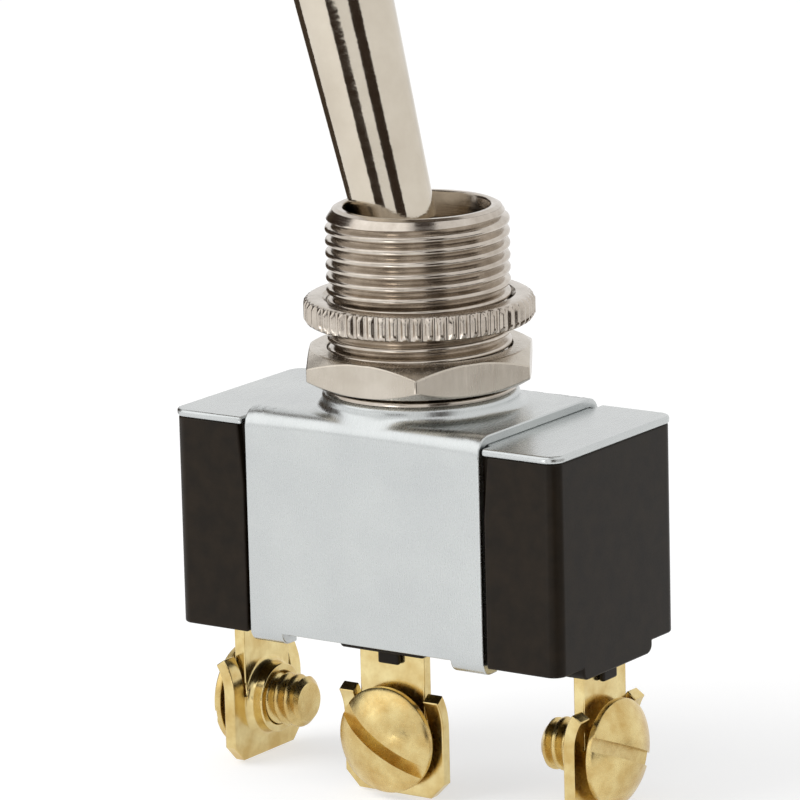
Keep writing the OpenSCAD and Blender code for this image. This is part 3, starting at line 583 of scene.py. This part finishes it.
# %% Ring nut
RING_LOW, RING_HIGH, RING_BORE_R, BORE_BEVEL = 5.43, 7.15, 6.003, 0.25
PAST_RIM_R = 7.6      # outside every ridge, so that the knurl alone decides the radius there
rows = [(RING_BORE_R + BORE_BEVEL, RING_LOW), (7.0, RING_LOW), (7.12, RING_LOW + 0.03),
        (7.3, RING_LOW + 0.13), (PAST_RIM_R, RING_LOW + 0.36)]
rows += [(PAST_RIM_R, z) for z in np.linspace(RING_LOW + 0.55, RING_HIGH - 0.55, 4)]
rows += [(r, RING_LOW + RING_HIGH - z) for r, z in rows[4::-1]]
rows += [(RING_BORE_R, RING_HIGH - BORE_BEVEL), (RING_BORE_R, RING_LOW + BORE_BEVEL),
         (RING_BORE_R + BORE_BEVEL, RING_LOW)]
row_r, row_z = np.array(rows).T[:, :, None]
rim = np.minimum(row_r, ring_r[None])
ring_grid = np.stack([rim * np.cos(ring_a), rim * np.sin(ring_a), row_z + 0 * ring_a[None]], axis=2)
ring_nut = mesh_from("knurled_ring_nut", *sweep(ring_grid), sharp_angle=40)
# the ring nut wears the same darker nickel, painted shade for its knurl
dress(ring_nut, "ring_nut", turned_nickel_painted_shade)

# %% [markdown]
# ## The terminal screws
# Binding-head screws: a rimmed head with a low dome and an undercut, a milled slot, and a shank
# with the same coarse pitch as the bushing. One is drawn with its head's underside at zero and
# then placed three times, each with the slot turned its own way, as screws come to rest.

# %% Screw's measures
SCREW_R, SHANK_R, HEAD_R, HEAD_HIGH, DOME_HIGH = 1.75, 1.3, 3.5, 1.7, 1.25
SLOT_HALF, SLOT_FLOOR = 0.45, -0.35
SCREW_SIDES, SCREW_DEPTH, POINT_Z = 96, 0.44, 4.74
print("screws: head", 2 * HEAD_R, "mm, thread", 2 * SCREW_R, "mm, slot", 2 * SLOT_HALF, "mm")


def screw_envelope(z):
    """Shank under the head, then full size to the chamfered point."""
    return np.interp(z, [0.0, 0.35, 4.33, POINT_Z], [SHANK_R, SCREW_R, SCREW_R, SHANK_R])


def screw_piece(name, place, slot_turn):
    """One screw. Its dome is an arc of radius (R^2 + h^2) / 2h for a head of radius R, h high."""
    dome_r = (HEAD_R ** 2 + DOME_HIGH ** 2) / (2 * DOME_HIGH)
    reach = math.degrees(math.asin(HEAD_R / dome_r))
    dome = arc((0, dome_r - HEAD_HIGH), dome_r, 270, 270 + reach, 14)
    # the rim, the undercut below it, the plain core inside the sleeve and the flat point
    below = rounded([(3.46, -0.48), (HEAD_R, -0.42, 0.1), (HEAD_R, 0.0, 0.12), (2.9, 0.0, 0.05),
                     (2.9, -0.2), (1.28, -0.2), (1.28, POINT_Z), (1.15, 4.76), (0, 4.76)])
    turned = lathe(np.concatenate([dome[:-1], below]), SCREW_SIDES)
    made = mesh_from(name, *sweep(turned), matrix=place)
    across_head = place @ Matrix.Rotation(math.radians(slot_turn), 4, "Z")
    cut(made, box_outline(-4.5, 4.5, -SLOT_HALF, SLOT_HALF), -2.2, SLOT_FLOOR, across_head)
    sleeve = thread(SCREW_R, 0.9, screw_envelope, -0.1, POINT_Z, SCREW_SIDES, SCREW_DEPTH)
    return with_sleeve(made, mesh_from("sleeve", *sweep(sleeve), matrix=place))


# %% Screws
SCREW_Z, BACKED_OUT = -21.4, 0.6
lie_down = Matrix.Rotation(-math.pi / 2, 4, "X")
for side, label, reach, slot_turn in (
    (-1, "left", 13.7, 15), (0, "centre", 4.1, 31), (1, "right", 13.7, 22),
):
    to_terminal = Matrix.Rotation(side * math.pi / 2, 4, "Z")
    place = to_terminal @ Matrix.Translation((0, -reach - BACKED_OUT, SCREW_Z)) @ lie_down
    screw = screw_piece("binding_screw_" + label, place, slot_turn)
    dress(screw, "screw_" + label, turned_brass)

# %% [markdown]
# ## The plunger's spring
# Five turns of drawn wire in the lever's hollow tail. A curve with a bevel would draw it too, but
# a grid keeps its ends closed: a tube is carried along a helix, with centre line
# (R cos a, R sin a, z falling evenly) and a circle of the wire's radius round it.

# %% Spring
COIL_R, WIRE, COIL_TURNS = 1.15, 0.4, 5
SPRING_TOP, SPRING_FOOT, PLUNGER_TRAVEL = -1.72, -4.68, 0.9


def coil(radius, wire, turns, top, bottom, rings=180, sides=12):
    """Grid of a helical tube, with its two ends closed by a point each."""
    s = np.linspace(0, 1, rings + 1)
    a = 2 * np.pi * turns * s
    b = np.linspace(0, 2 * np.pi, sides + 1)
    size = np.full(rings + 1, wire / 2)
    size[0] = size[-1] = 0
    r = radius + size[:, None] * np.cos(b)
    z = (top + (bottom - top) * s)[:, None] + size[:, None] * np.sin(b)
    return np.stack([r * np.cos(a)[:, None], r * np.sin(a)[:, None], z], axis=2)


spring_grid = coil(COIL_R, WIRE, COIL_TURNS, SPRING_TOP, SPRING_FOOT)
spring = mesh_from("plunger_coil", *sweep(spring_grid), matrix=on_lever)
dress(spring, "plunger_spring", spring_steel)
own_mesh(spring)

# %% [markdown]
# ## The strap
# A steel blank is drawn up in the middle for the boss, pierced for the bushing and folded: two
# legs down, and two tabs at the foot of each leg in under the base. It is made the same way here,
# because a folded sheet keeps one thickness through every bend. Every point has a place on the
# flat blank, x along the switch and s away from the middle line, and one function folds the
# blank: straight runs stay straight and each bend turns s into an arc.

# %% Folding the blank
SHEET, FLAT, BEND_R, TAB_R = 0.6, 5.95, 1.1, 0.9
LEG_START = FLAT + BEND_R * math.pi / 2
TAB_START = LEG_START + 13.55
TAB_FLAT = TAB_START + TAB_R * math.pi / 2
TAB_END = TAB_FLAT + 0.8


def folded(x, s, rise, depth):
    """Blank to space: y and z are the flat run, the long bend, the leg, the tab's bend and the run
    under the base, one after another; depth goes into the sheet, rise lifts the drawn boss."""
    away = np.abs(s)
    bend = np.clip((away - FLAT) / BEND_R, 0, math.pi / 2)
    tab = np.clip((away - TAB_START) / TAB_R, 0, math.pi / 2)
    y = np.minimum(away, FLAT) + (BEND_R - depth) * np.sin(bend)
    y += (TAB_R - depth) * (np.cos(tab) - 1)
    y -= np.clip(away - TAB_FLAT, 0, None)
    drop = BEND_R * (1 - np.cos(bend))
    z = -depth * np.cos(bend) - drop - np.clip(away - LEG_START, 0, TAB_START - LEG_START)
    z -= (TAB_R - depth) * np.sin(tab)
    return np.stack([x, np.sign(s) * y, z + rise * (1 + drop)], axis=-1)


print("the strap's blank, flat, is", round(2 * TAB_END, 1), "mm long")

# %% The blank's lines and its boss
STRAP_HALF, TAB_INNER, BOSS_FOOT_R = 9.05, 6.55, 7.0
tab_lines = np.linspace(TAB_INNER, STRAP_HALF, 7)
between = np.linspace(-TAB_INNER, TAB_INNER, 37)[1:-1]
x_lines = np.concatenate([-tab_lines[::-1], between, tab_lines])
s_lines = np.linspace(-LEG_START, LEG_START, 41)
# the edge of the flat field, once round: front, right, back, left
edge = np.concatenate([
    np.stack([x_lines, 0 * x_lines - LEG_START], 1)[:-1],
    np.stack([0 * s_lines + STRAP_HALF, s_lines], 1)[:-1],
    np.stack([x_lines[::-1], 0 * x_lines + LEG_START], 1)[:-1],
    np.stack([0 * s_lines - STRAP_HALF, s_lines[::-1]], 1)])
outward = edge / np.linalg.norm(edge, axis=1)[:, None]
# boss section (radius, rise) from the hole outwards: level top, rounded crown, wall, hollow foot
boss = np.concatenate([
    [(HOLE_R, 1.0), (5.6, 1.0)], arc((6.05, 0.65), 0.35, 90, 0, 6), [(6.4, 0.62)],
    arc((BOSS_FOOT_R, 0.6), 0.6, 180, 270, 8)[1:]])
# from the boss's foot the rings turn step by step from round to the edge's rectangle
spread = np.linspace(0, 1, 7)[1:, None, None]
to_edge = (1 - spread) * BOSS_FOOT_R * outward + spread * edge
rings = np.concatenate([boss[:, 0][:, None, None] * outward, to_edge])
rises = np.concatenate([boss[:, 1], np.zeros(len(to_edge))])[:, None] + np.zeros(len(edge))
print("rings round the boss:", len(rings), "of", len(edge), "points")

# %% The legs
leg_rows = np.concatenate([LEG_START + np.array([0, 0.5, 1.5, 4, 7, 10, 12.9]), [TAB_START + 0.1],
                           np.linspace(TAB_START + 0.3, TAB_FLAT, 8), [TAB_FLAT + 0.4, TAB_END]])
NOTCH_ROW = 7         # below this row only the tabs go on


def leg_sheet(sign):
    """One leg: rows down the blank by the x lines; below the notch only the tabs' columns stay."""
    s, x = np.meshgrid(sign * leg_rows, x_lines, indexing="ij")
    faces = grid_faces(*s.shape)
    row, column = faces[:, 0] // len(x_lines), faces[:, 0] % len(x_lines)
    keep = (row < NOTCH_ROW) | (np.abs(x_lines[column] + x_lines[column + 1]) / 2 > TAB_INNER)
    return np.stack([x.ravel(), s.ravel(), 0 * x.ravel()], 1), faces[keep]


print("faces of one leg on the blank:", len(leg_sheet(1)[1]))

# %% Both faces of the sheet
def joined(*parts):
    """Several (points, faces) pairs as one."""
    starts = np.cumsum([0] + [len(points) for points, _ in parts])
    return (np.concatenate([points for points, _ in parts]),
            np.concatenate([faces + start for (_, faces), start in zip(parts, starts)]))


def sheet_shell(blank, faces):
    """Both faces of the sheet and the wall along every edge that only one quad uses."""
    places = np.round(blank[:, :2], 5)
    _, first, back = np.unique(places, axis=0, return_index=True, return_inverse=True)
    flat, faces = blank[first], back.ravel()[faces]
    outer = folded(flat[:, 0], flat[:, 1], flat[:, 2], 0.0)
    inner = folded(flat[:, 0], flat[:, 1], flat[:, 2], SHEET)
    pairs = np.concatenate([faces[:, [i, (i + 1) % 4]] for i in range(4)])
    both_ways = np.sort(pairs, axis=1)
    _, at, count = np.unique(both_ways, axis=0, return_index=True, return_counts=True)
    rim = pairs[at[count == 1]]
    n = len(flat)
    walls = np.column_stack([rim, rim[:, ::-1] + n])
    return np.concatenate([outer, inner]), np.concatenate([faces, faces[:, ::-1] + n, walls])


# %% Strap
field = np.concatenate([rings, rises[:, :, None]], axis=2)
blank, quads = joined(sweep(field), leg_sheet(-1), leg_sheet(1))
strap = mesh_from("folded_strap", *sheet_shell(blank, quads), sharp_angle=50)
print("strap faces:", len(strap.data.polygons))
roll_edges(strap, 0.09)
dress(strap, "strap", zinc_sheet)

# %% [markdown]
# ## The base and what lies on it
# The base is a phenolic box. Its mould's corners have a small radius, because a sharp one would
# chip. The insulator is a fibre sheet on top of it, and the cover plate closes it: blanked
# steel, whose upper edge the punch has drawn round. All three keep their solids' own form.

# %% Base, insulator and cover plate
softened("base", phenolic, 0.14)
softened("insulator", vulcanised_fibre, 0.04)
softened("cover_plate", zinc_sheet, 0.17)

# %% [markdown]
# ## The terminals and the rocker
# Brass strip, blanked and bent, and inside the housing a see-saw arm of copper alloy. Blanking
# rolls the edges over by about a tenth of the strip's thickness, and the Bevel does the same.

# %% Terminals and rocker
for label in ("left", "centre", "right"):
    softened("terminal_" + label, sheet_brass, 0.08)
softened("rocker", copper_strip, 0.05)

# %% [markdown]
# ## The hex nut
# Cut from drawn bar and chamfered on its upper side. The chamfer meets the flats in shallow arcs
# at less than fifty degrees, so the angle from which edges are rounded is set lower here.

# %% Hex nut
softened("hex_nut", drawn_nickel, 0.08, angle=24)

# %% [markdown]
# ## Pieces that keep their solids
# The pin, the plunger and the contacts are plain turned, moulded or coined shapes, and hidden.
# Their solids are right as they are and only get their finish.

# %% Pin, plunger and contacts
kept = [("pivot_pin", "steel", spring_steel), ("plunger", "nylon", moulded_nylon)]
kept += [(f"{carrier}_contact_{label}", "silver", contact_silver)
         for carrier in ("rocker", "fixed") for label in ("left", "right")]
for node, slot, material in kept:
    solid = frame["nodes"][node]
    solid.data.materials.clear()
    solid.data.materials.append(material)
    print(node, "keeps its solid, in", material.name)

# %% [markdown]
# ## The studio's room
# Bright metal only shows what it reflects. The room is white for the camera and for reflections
# and gentler for the light it sheds, so that nothing pale clips. The floor is white paper that
# glows for the camera and for reflections alone, and still takes the switch's shadow.

# %% World
WHITE = (1, 1, 1, 1)
ROOM_LIGHT = 0.62
world = bpy.data.worlds.new("studio")
bpy.context.scene.world = world
world.use_nodes = True
sky = world.node_tree
background = sky.nodes["Background"]
background.inputs["Color"].default_value = WHITE
ray = add(sky, "ShaderNodeLightPath").outputs
seen = add(sky, "ShaderNodeMath", {
    0: ray["Is Camera Ray"], 1: ray["Is Glossy Ray"]}, operation="MAXIMUM")
seen_too = add(sky, "ShaderNodeMath", {
    0: seen.outputs[0], 1: ray["Is Transmission Ray"]}, operation="MAXIMUM")
level = add(sky, "ShaderNodeMapRange", {
    "Value": seen_too.outputs[0], "To Min": ROOM_LIGHT, "To Max": 1.0})
sky.links.new(level.outputs["Result"], background.inputs["Strength"])
print("the room sheds", ROOM_LIGHT, "of the white that it shows")

# %% Floor
FLOOR_HALF, PAPER_GREY, PAPER_GLOW = 1.5, 0.5, 0.6
floor_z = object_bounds()[0][2] - 0.0002
square = box_outline(-FLOOR_HALF, FLOOR_HALF, -FLOOR_HALF, FLOOR_HALF)
floor_mesh = bpy.data.meshes.new("floor")
floor_mesh.from_pydata([(x, y, floor_z) for x, y in square], [], [(0, 1, 2, 3)])
paper = bpy.data.materials.new("white_paper")
paper.use_nodes = True
fibres = paper.node_tree
matte = fibres.nodes["Principled BSDF"]
for socket, value in (("Base Color", (PAPER_GREY, PAPER_GREY, PAPER_GREY, 1)), ("Roughness", 0.9),
                      ("Specular IOR Level", 0.0), ("Emission Color", WHITE)):
    matte.inputs[socket].default_value = value
ray = add(fibres, "ShaderNodeLightPath").outputs
seen = add(fibres, "ShaderNodeMath", {
    0: ray["Is Camera Ray"], 1: ray["Is Glossy Ray"]}, operation="MAXIMUM")
glow = add(fibres, "ShaderNodeMath", {0: seen.outputs[0], 1: PAPER_GLOW}, operation="MULTIPLY")
fibres.links.new(glow.outputs[0], matte.inputs["Emission Strength"])
floor_mesh.materials.append(paper)
in_scene("floor", floor_mesh)
print("floor at z =", round(floor_z, 5), "m")

# %% [markdown]
# ## Cards for the metal to reflect
# A photographer stands dark and white cards round bright metal. The two dark ones left and right
# of the camera give the bat its dark streaks, the other dark ones shade the domes, threads and
# chamfers, and the white ones brighten what faces the front left. Only reflections see them.

# %% A card
CAMERA_AZIMUTH, CAMERA_ELEVATION, CAMERA_ROLL = 34.566, 12.795, -1.4204
CARD_COLUMNS = 13


def card(name, start, end, profile, shade_hex, glow=0.0):
    """A card between two angles right of the camera. Its profile of (distance, height) in metres
    may run along the floor first and then stand up: x = d sin a, y = -d cos a, z = height."""
    a = np.radians(CAMERA_AZIMUTH + np.linspace(start, end, CARD_COLUMNS))
    r, z = np.array(profile).T[:, :, None]
    points, faces = sweep(np.stack([r * np.sin(a), -r * np.cos(a), z + 0 * a], axis=2))
    mesh = bpy.data.meshes.new(name)
    mesh.from_pydata(points.tolist(), [], faces.tolist())
    surface = bpy.data.materials.new(name)
    surface.use_nodes = True
    inputs = surface.node_tree.nodes["Principled BSDF"].inputs
    for socket, value in (("Base Color", (0, 0, 0, 1)), ("Specular IOR Level", 0.0),
                          ("Emission Color", linear(shade_hex)), ("Emission Strength", 1.0 + glow)):
        inputs[socket].default_value = value
    mesh.materials.append(surface)
    made = in_scene(name, mesh)
    made.visible_camera = made.visible_diffuse = False
    made.visible_shadow = made.visible_transmission = False
    print(name, "from", start, "to", end, "degrees")


# %% Cards on the floor, some of which stand up at their far end
NEAR, FAR = 0.115, 0.45
on_floor = floor_z + 0.0006
card("dark_card_right", 8, 34, [(NEAR, on_floor), (FAR, on_floor), (FAR, 0.16)], "#3A3029")
card("dark_card_left", -43, -18, [(0.17, on_floor), (FAR, on_floor), (FAR, 0.02)], "#3A3029")
card("dark_card_back_left", -165, -123, [(NEAR, on_floor), (FAR, on_floor), (FAR, 0.1)], "#4A4036")
card("dark_card_near_right", 8, 92, [(0.05, on_floor), (0.112, on_floor)], "#5A5046")
card("bright_card_near", -43, -30, [(0.045, on_floor), (0.112, on_floor)], "#FFFFFF", 3.0)

# %% Cards in the sky
DOME_R = 0.5


def sky_card(name, start, end, low, high, shade_hex, glow=0.0):
    """A card on a half-metre dome, between two elevations: distance R cos e, height R sin e."""
    e = np.radians(np.linspace(low, high, 7))
    profile = [(DOME_R * math.cos(v), DOME_R * math.sin(v)) for v in e]
    card(name, start, end, profile, shade_hex, glow)


sky_card("dark_card_overhead", 120, 240, 50, 88, "#5A5046")
sky_card("dark_card_high_right", -6, 32, 44, 66, "#3A3029")
sky_card("dark_card_high_left", -155, -108, 4, 33, "#3A3029")
sky_card("bright_card_left", -106, -62, 10, 62, "#FFFFFF", 0.5)
sky_card("bright_card_front", -62, -16, 33, 62, "#FFFFFF", 0.5)

# %% [markdown]
# ## The lamp
# One large soft lamp, high at the front left, gives the base and the floor their shading. It
# isn't seen in reflections, where it would draw a square on every dome.

# %% Lamp
softbox = bpy.data.lights.new("softbox", "AREA")
softbox.shape, softbox.size, softbox.size_y = "RECTANGLE", 0.5, 0.5
softbox.energy = 3.0
lamp = in_scene("softbox", softbox)
lamp.location = (-0.35, -0.4, 0.5)
lamp.rotation_euler = Vector(lamp.location).to_track_quat("Z", "Y").to_euler()
lamp.visible_glossy = False
print("lamp:", softbox.energy, "W from", round(Vector(lamp.location).length, 2), "m")

# %% [markdown]
# ## The camera
# The photograph was taken with a long lens from front right, a little above the switch, and
# leans slightly. The camera is set by the same angles, distance and aim.

# %% Camera
AIM_MM, DISTANCE, LENS = (-1.1305, -0.7789, 0.1546), 0.39078, 272.58
view = bpy.data.cameras.new("camera")
view.lens, view.sensor_width = LENS, 36
view.clip_start, view.clip_end = 0.01, 10
camera = in_scene("camera", view)
azimuth, elevation = math.radians(CAMERA_AZIMUTH), math.radians(CAMERA_ELEVATION)
roll = math.radians(CAMERA_ROLL)
forward = Vector((-math.sin(azimuth) * math.cos(elevation),
                  math.cos(azimuth) * math.cos(elevation), -math.sin(elevation)))
level_right = Vector((math.cos(azimuth), math.sin(azimuth), 0))
level_up = level_right.cross(forward)
right = level_right * math.cos(roll) + level_up * math.sin(roll)
up = right.cross(forward)
turned = Matrix((right, up, -forward)).transposed().to_4x4()
camera.matrix_world = Matrix.Translation(Vector(AIM_MM) * MM - forward * DISTANCE) @ turned
bpy.context.scene.camera = camera
bpy.context.scene.view_settings.view_transform = "Standard"
print("camera", round(DISTANCE, 3), "m away, lens", LENS, "mm")
